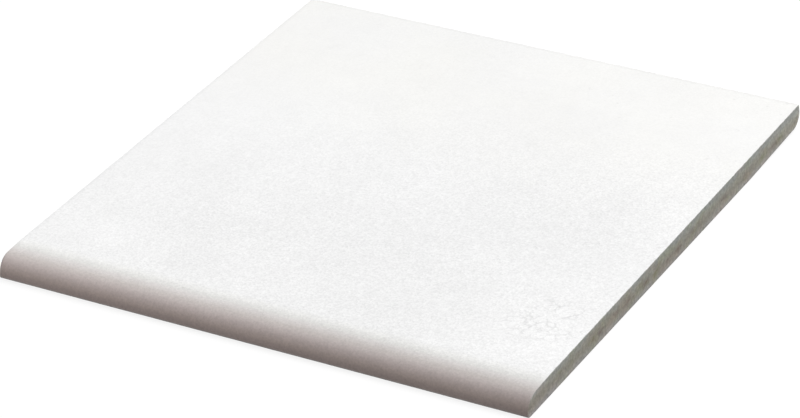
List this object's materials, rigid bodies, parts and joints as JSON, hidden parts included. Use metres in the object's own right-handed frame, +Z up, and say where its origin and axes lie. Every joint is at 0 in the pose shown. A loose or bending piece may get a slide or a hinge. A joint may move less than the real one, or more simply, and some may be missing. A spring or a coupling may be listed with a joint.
{
  "type": "bullnose tile",
  "caption": "Near-square ceramic floor and stair tile with a flat tread face, a rounded-over front edge and a keyed bed.",
  "frame": {"origin": "on the plane of the bed, under the middle of the tile's outline", "axes": "+X along the nose, towards the right seen from the front; +Y from the rounded nose towards the back edge; +Z up out of the tread face"},
  "size_m": [0.3, 0.32, 0.0142],
  "materials": {
    "white_glaze": "satin"
  },
  "bodies": {
    "root": {"bullnose_tile": "white_glaze"}
  },
  "joints": []
}
